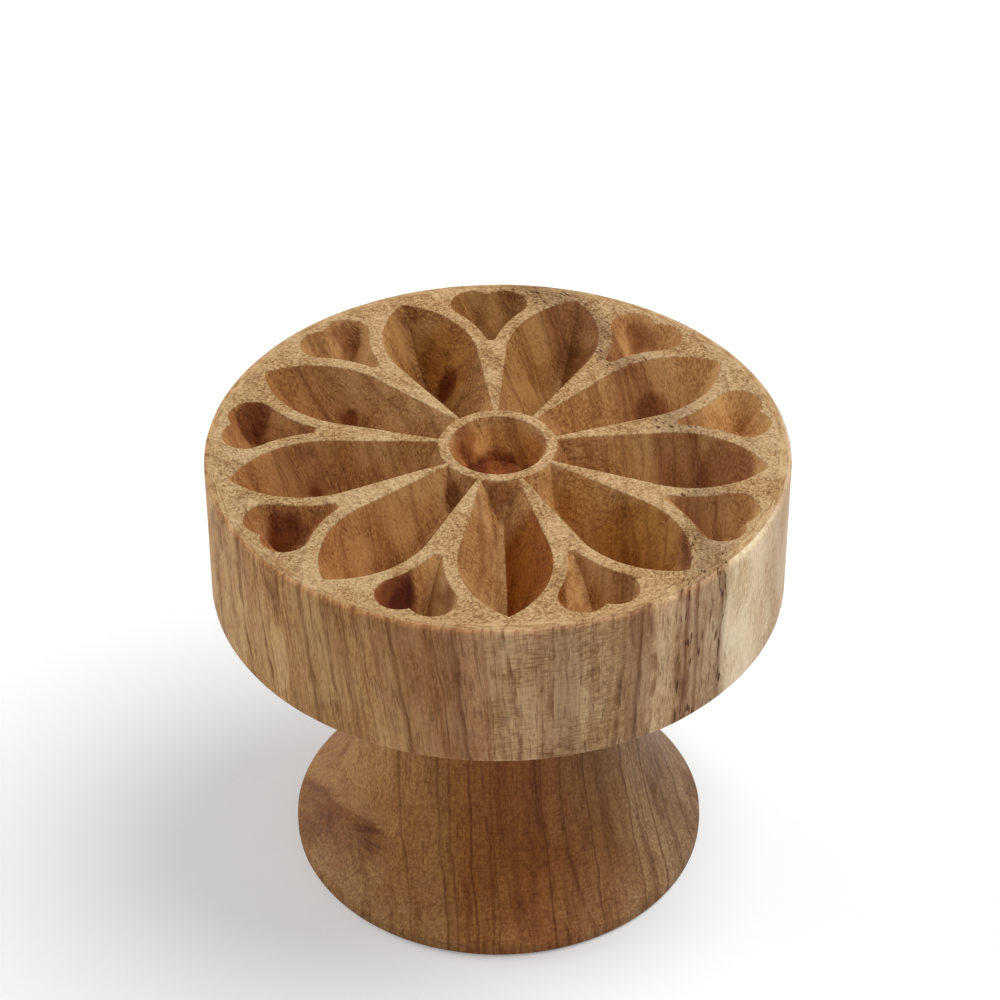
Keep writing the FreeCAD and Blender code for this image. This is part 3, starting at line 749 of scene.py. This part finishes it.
rippled = times(tree, rippled, graded(tree, wood["Clouds"], 0.36, 0.56, 0.15, 1.0))
ripple_mask = times(tree, graded(tree, wood["Ripple"], 0.46, 0.60),
                    number(tree, "MULTIPLY_ADD", rippled, 0.40, 0.07))
sides = tint(tree, "MIX", inside_rim, rim_colour, pocket_colour)
streak_mask = times(tree, streak_mask, number(tree, "MULTIPLY_ADD", inside_rim, -0.2, 1.0))
sides = tint(tree, "MULTIPLY", streak_mask, sides, (180, 138, 104))
sides = tint(tree, "MULTIPLY", ring_mask, sides, (166, 130, 98))
sides = tint(tree, "MULTIPLY", hair_mask, sides, (190, 156, 124))
sides = tint(tree, "MULTIPLY", ripple_mask, sides, (164, 122, 92))
uneven_mottle = times(tree, graded(tree, wood["Mottle"], 0.36, 0.64),
                      graded(tree, wood["Clouds"], 0.36, 0.60, 0.35, 1.0))
uneven_mottle = times(tree, uneven_mottle, number(tree, "MULTIPLY_ADD", inside_rim, 0.25, 0.45))
sides = tint(tree, "MULTIPLY", uneven_mottle, sides, (190, 158, 124))

# The land round the pockets is end grain with fine flecks, and its turned edge is a little
# paler and rougher.
around = times(tree, number(tree, "ARCTAN2", x, times(tree, y, -1.0)), 16.0)
edge_grain = speckle(tree, arrow(tree, around, times(tree, out, 3600.0), times(tree, z, 3600.0)))
at_edge = graded(tree, out, 0.0331, 0.0339)
flecks = graded(tree, wood["Mottle"], 0.40, 0.64)
flecks = times(tree, flecks, graded(tree, wood["Clouds"], 0.34, 0.62, 0.45, 0.85))
flecks = times(tree, flecks, number(tree, "MULTIPLY_ADD", at_edge, -0.6, 1.0))
land = tint(tree, "MULTIPLY", flecks, face_colour, (178, 152, 116))
land = tint(tree, "SCREEN", graded(tree, wood["Mottle"], 0.46, 0.28, 0.0, 0.24), land,
            (196, 164, 128))
land = tint(tree, "SCREEN", times(tree, at_edge, 0.20), land, (150, 120, 84))
crumbs = times(tree, at_edge, graded(tree, edge_grain, 0.44, 0.62, 0.0, 0.65))
land = tint(tree, "MULTIPLY", crumbs, land, (196, 166, 128))
land = tint(tree, "MULTIPLY", times(tree, wood["Rings"], 0.35), land, (170, 136, 104))
colour = tint(tree, "MIX", on_face, sides, land)
colour = tint(tree, "MULTIPLY", graded(tree, wood["Clouds"], 0.38, 0.64, 0.0, 0.40), colour,
              (214, 190, 150))
colour = tint(tree, "MULTIPLY", dash_mask, colour, (138, 104, 78))

# A few places in the pockets, most of them deep, are darkened to a reddish brown. Each is a place,
# a size and how strong it is.
for spot_x, spot_y, spot_z, size, strong in (
        (-17.6, 13.2, 54.0, 2.2, 0.9), (-5.7, 20.6, 53.2, 2.8, 0.9),
        (-22.1, -1.4, 54.2, 2.2, 0.9), (19.5, 14.0, 54.4, 2.5, 0.6),
        (-5.1, -6.0, 56.5, 2.0, 0.65), (-12.7, -26.0, 57.0, 2.2, 0.85),
        (-25.2, -12.6, 56.0, 2.6, 0.85), (0.0, 0.6, 54.0, 4.2, 0.85),
        (-3.8, 3.0, 57.6, 2.7, 0.65), (-3.0, 2.0, 56.0, 2.6, 0.6),
        (-0.2, -7.7, 58.3, 1.9, 0.6), (-22.8, 1.2, 58.0, 1.3, 0.6),
        (27.2, -2.0, 56.5, 4.4, 0.55), (-18.0, 26.2, 57.4, 2.4, 0.6),
        (-29.4, 9.0, 57.2, 2.4, 0.7), (-14.0, -25.6, 57.8, 3.0, 0.85),
        (-6.9, -27.0, 58.0, 2.1, 0.55), (13.3, -26.2, 57.8, 2.3, 0.3),
        (19.0, 25.1, 56.9, 2.5, 0.5)):
    gap = how_far(tree, place, (spot_x, spot_y, spot_z))
    reddish_patch = number(tree, "MULTIPLY_ADD", number(tree, "SUBTRACT", wood["Clouds"], 0.5), -7.0,
                   times(tree, gap, 1000.0))
    reddish_patch = times(tree, graded(tree, reddish_patch, size + 0.4, size - 1.0), in_pocket)
    colour = tint(tree, "MULTIPLY", times(tree, reddish_patch, strong), colour, (166, 108, 70))

# Some pocket walls get painted shade, darker and more golden, and one gets painted light, paler.
# The front petal's right wall faces away from the key lamp, and this mask paints its shade.
wall_shade_and_light = times(tree, graded(tree, x, 0.0002, 0.0005), graded(tree, x, 0.0070, 0.0060))
wall_shade_and_light = times(tree, wall_shade_and_light, graded(tree, y, -0.0110, -0.0140))
colour = tint(tree, "MULTIPLY", times(tree, wall_shade_and_light, in_pocket), colour, (212, 172, 100))
# Each patch is painted shade, or painted light where it is SCREEN: a kind, a place in mm, the outer
# and inner radius in mm, and a colour.
for kind, spot_x, spot_y, outer, inner, shade in (
        ("MULTIPLY", 14.0, -17.0, 8.0, 5.5, (240, 224, 172)),
        ("MULTIPLY", -5.5, 22.5, 6.5, 3.5, (255, 240, 192)),
        ("MULTIPLY", 0.0, 0.0, 6.5, 5.0, (250, 234, 204)),
        ("MULTIPLY", 4.6, 1.0, 3.8, 1.8, (230, 212, 168)),
        ("MULTIPLY", -3.0, 24.0, 16.0, 9.0, (232, 228, 214)),
        ("MULTIPLY", -23.5, -0.3, 5.0, 2.0, (236, 230, 228)),
        ("SCREEN", 9.4, -7.8, 5.0, 2.0, (94, 56, 0))):
    gap = how_far(tree, place, (spot_x, spot_y, 56.5))
    wall_shade_and_light = graded(tree, gap, outer / 1000, inner / 1000)
    colour = tint(tree, kind, times(tree, wall_shade_and_light, in_pocket), colour, shade)

relief_height = number(tree, "MULTIPLY_ADD", wood["Dashes"], -1.5,
                       number(tree, "MULTIPLY_ADD", wood["Hairlines"], -0.8, wood["Mottle"]))
crinkle = times(tree, rippled, number(tree, "SUBTRACT", 1.0, inside_rim))
crinkle = times(tree, wood["Ripple"], crinkle)
relief_height = number(tree, "MULTIPLY_ADD", crinkle, -2.2, relief_height)
wood_surface(tree, colour, relief_height, graded(tree, wood["Mottle"], 0.3, 0.7, 0.56, 0.70),
             0.00010, 0.16)

stamp_head = bpy.data.objects.new("stamp_head_wood", repeat_mesh)
scene.collection.objects.link(stamp_head)
setting = stamp_head.modifiers.new("rosette", "NODES")
setting.node_group = round_tree
keys = {item.name: item.identifier for item in round_tree.interface.items_tree
        if item.item_type == "SOCKET" and item.in_out == "INPUT"}
setting[keys["Count"]] = PETALS
setting[keys["First Direction"]] = radians(-90)
setting[keys["Wood"]] = head_wood
shown = stamp_head.evaluated_get(bpy.context.evaluated_depsgraph_get())
head_mesh = bpy.data.meshes.new_from_object(shown)
stamp_head.modifiers.clear()
stamp_head.data = head_mesh


def tidy_turning(mesh, sharp, hand, per_metre):
    """Closes the seams, lets the surface dip a little as hand finishing leaves it, and smooths."""
    shape = bmesh.new()
    shape.from_mesh(mesh)
    bmesh.ops.remove_doubles(shape, verts=shape.verts, dist=4e-6)
    bmesh.ops.recalc_face_normals(shape, faces=shape.faces)
    shape.normal_update()
    for vert in shape.verts:
        dip = 0.5 + 0.5 * noise.noise(vert.co * per_metre)
        vert.co -= vert.normal * (hand * dip)
    shape.to_mesh(mesh)
    shape.free()
    mesh.shade_smooth()
    mesh.set_sharp_from_angle(angle=radians(sharp))


tidy_turning(head_mesh, sharp=34, hand=0.00006, per_metre=260.0)
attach(stamp_head, "root")
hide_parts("stamp_head")

# The handle: a spool of the same hardwood, turned from one billet, with a broad foot, a narrow
# upright band round it, a waist for the fingers and a flat shoulder under the head. Its top is
# bored for the dowel that holds the head.
FOOT, WAIST, SHOULDER = 26.0, 16.5, 21.0
BAND, WAIST_HEIGHT, HANDLE_LENGTH = 2.0, 24.0, 40.0
FOOT_ROUND, HOLE_FLOOR = 0.7, 19.0
lower_run, lower_flare = WAIST_HEIGHT - BAND, FOOT - WAIST
lower_cove = (lower_run ** 2 + lower_flare ** 2) / (2 * lower_flare)
upper_run, upper_flare = HANDLE_LENGTH - WAIST_HEIGHT, SHOULDER - WAIST
upper_cove = (upper_run ** 2 + upper_flare ** 2) / (2 * upper_flare)
profile = [(radius, 0.0) for radius in (6.0, 12.0, 18.0, 23.0)]
profile += [(FOOT - FOOT_ROUND + FOOT_ROUND * sin(turn), FOOT_ROUND - FOOT_ROUND * cos(turn))
            for turn in [radians(90) * step / 5 for step in range(6)]]
profile += [(FOOT, FOOT_ROUND + (BAND - 1.0) * step / 3) for step in range(1, 3)]
start_turn = asin(lower_run / lower_cove)
profile += [(FOOT - 0.02, BAND - 0.22), (FOOT - 0.12, BAND - 0.03)]
for step in range(1, 33):
    turn = start_turn * (1 - step / 32)
    profile.append((WAIST + lower_cove * (1 - cos(turn)), WAIST_HEIGHT - lower_cove * sin(turn)))
end_turn = asin(upper_run / upper_cove)
for step in range(1, 25):
    turn = end_turn * step / 24
    profile.append((WAIST + upper_cove * (1 - cos(turn)), WAIST_HEIGHT + upper_cove * sin(turn)))
profile += [(radius, HANDLE_LENGTH) for radius in (17.0, 13.0, 9.0, DOWEL_HOLE)]
profile += [(DOWEL_HOLE, height) for height in (34.0, 27.0, HOLE_FLOOR)]
AROUND = 240
spool = bmesh.new()
rings = []
for radius, height in profile:
    rings.append([spool.verts.new((radius * cos(2 * pi * step / AROUND) / 1000,
                                   radius * sin(2 * pi * step / AROUND) / 1000, height / 1000))
                  for step in range(AROUND)])
for lower, upper in zip(rings, rings[1:]):
    for step in range(AROUND):
        after = (step + 1) % AROUND
        spool.faces.new((lower[step], lower[after], upper[after], upper[step]))
for ring, height in ((rings[0], 0.0), (rings[-1], HOLE_FLOOR / 1000)):
    middle = spool.verts.new((0.0, 0.0, height))
    for step in range(AROUND):
        spool.faces.new((ring[step], ring[(step + 1) % AROUND], middle))
handle_mesh = bpy.data.meshes.new("handle_wood")
spool.to_mesh(handle_mesh)
spool.free()

handle_wood, tree, place, wood = new_wood(
    "handle_wood", Heart_X=-90.0, Heart_Y=-30.0, Spread=0.14, Wander=1.8, Ring_Width=4.2,
    Pore_Length=4.0)
x, y, z = apart(tree, place)
layer = wood["Layer"]
colour = layer_colours(tree, layer, [
    (-26, (178, 130, 80)), (-16, (184, 136, 82)), (-11, (198, 148, 88)), (-6, (192, 140, 80)),
    (-4.5, (184, 122, 60)), (4, (178, 114, 56)), (8, (172, 116, 64)), (13, (164, 118, 70)),
    (16, (170, 130, 86)), (17, (180, 146, 106)), (19, (176, 142, 102)), (21, (154, 123, 88)),
    (26, (148, 117, 84))])
# Painted light: the foot grows paler towards the bottom, where its flare catches the lamps.
colour = tint(tree, "SCREEN", graded(tree, z, 0.010, 0.002, 0.0, 0.18), colour, (180, 150, 120))
year_lines = marked(tree, layer, [
    (-9.9, 0.25, 0.7), (-6.4, 0.3, 0.8), (-5.3, 0.25, 0.8), (-3.1, 0.35, 1.0), (-0.6, 0.25, 0.7),
    (5.6, 0.3, 1.0), (8.1, 0.22, 0.6), (11.1, 0.3, 1.0), (12.8, 0.25, 0.6), (16.4, 0.3, 1.0),
    (18.1, 0.25, 0.7), (19.5, 0.35, 1.0), (21.6, 0.3, 0.9), (24.0, 0.3, 0.9)], wood)
ring_mask = number(tree, "MAXIMUM", times(tree, wood["Rings"], 0.6), year_lines)
colour = tint(tree, "MULTIPLY", times(tree, graded(tree, wood["Streaks"], 0.46, 0.68), 0.50),
              colour, (176, 136, 100))
colour = tint(tree, "MULTIPLY", ring_mask, colour, (160, 118, 80))
colour = tint(tree, "MULTIPLY", graded(tree, wood["Hairlines"], 0.45, 0.72, 0.0, 0.22), colour,
              (180, 146, 116))
colour = tint(tree, "MULTIPLY", graded(tree, wood["Mottle"], 0.36, 0.64, 0.0, 0.50), colour,
              (184, 150, 116))
colour = tint(tree, "MULTIPLY", graded(tree, wood["Ripple"], 0.46, 0.62, 0.0, 0.28), colour,
              (170, 130, 100))

# A knot low on the left: the grain sweeps round it, darker inside the sweep and paler outside,
# and short dark lines fan out from it.
across = number(tree, "MULTIPLY_ADD", x, 1000.0, 20.6)
upward = number(tree, "MULTIPLY_ADD", y, 605.0, number(tree, "MULTIPLY_ADD", z, 796.0, -0.6))
from_knot = number(tree, "SQRT", number(tree, "ADD", times(tree, across, across),
                                        times(tree, upward, upward)))
near_knot = graded(tree, from_knot, 9.0, 4.0, 0.0, 0.55)
swept = number(tree, "MULTIPLY_ADD", across, 0.568, upward)
swept = number(tree, "MULTIPLY_ADD", number(tree, "SUBTRACT", wood["Clouds"], 0.5), 2.0, swept)
shade = times(tree, graded(tree, swept, 2.8, 2.1), graded(tree, swept, -5.0, 1.0))
colour = tint(tree, "MULTIPLY", times(tree, shade, near_knot), colour, (178, 134, 88))
pale = times(tree, graded(tree, swept, 2.4, 3.2), graded(tree, swept, 7.0, 4.0))
pale = times(tree, times(tree, pale, near_knot), 0.25)
colour = tint(tree, "SCREEN", pale, colour, (190, 150, 104))
round_knot = times(tree, number(tree, "ARCTAN2", upward, across), 7.0)
fan = arrow(tree, round_knot, times(tree, from_knot, 0.16), 0.0)
fan = speckle(tree, fan, 1.0)
fan = times(tree, graded(tree, fan, 0.46, 0.60), graded(tree, from_knot, 1.0, 2.6))
fan = times(tree, fan, graded(tree, from_knot, 7.2, 5.2, 0.0, 0.6))
fan = times(tree, fan, graded(tree, upward, 1.0, 0.0))
beside = number(tree, "MULTIPLY_ADD", across, 1.1, upward)
fan = times(tree, fan, graded(tree, beside, 0.0, 1.2))
colour = tint(tree, "MULTIPLY", fan, colour, (168, 128, 92))

colour = tint(tree, "MULTIPLY", graded(tree, wood["Clouds"], 0.38, 0.64, 0.0, 0.40), colour,
              (214, 182, 146))
colour = tint(tree, "MULTIPLY", times(tree, wood["Dashes"], 0.25), colour, (138, 100, 72))
relief_height = number(tree, "MULTIPLY_ADD", wood["Dashes"], -1.0, wood["Hairlines"])
wood_surface(tree, colour, relief_height, graded(tree, wood["Hairlines"], 0.3, 0.7, 0.50, 0.62),
             0.00006, 0.18)

handle_mesh.materials.append(handle_wood)
tidy_turning(handle_mesh, sharp=34, hand=0.00005, per_metre=150.0)
handle = bpy.data.objects.new("handle_spool", handle_mesh)
scene.collection.objects.link(handle)
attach(handle, "root")
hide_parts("handle")

# The dowel: a pale, straight-grained hardwood pin with glue grooves, glued into the holes of the
# head and the handle. It is hidden in the joint and keeps the solid's own mesh.
dowel_wood, tree, place, wood = new_wood("dowel_wood", Wander=0.6, Ring_Width=1.8)
colour = tint(tree, "MIX", graded(tree, wood["Streaks"], 0.35, 0.65), (206, 176, 134),
              (190, 156, 114))
colour = tint(tree, "MULTIPLY", times(tree, wood["Rings"], 0.5), colour, (176, 142, 108))
wood_surface(tree, colour, wood["Hairlines"], graded(tree, wood["Mottle"], 0.3, 0.7, 0.6, 0.75),
             0.00005, 0.35)
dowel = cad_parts["joint_dowel"]
for material_slot in dowel.material_slots:
    material_slot.material = dowel_wood
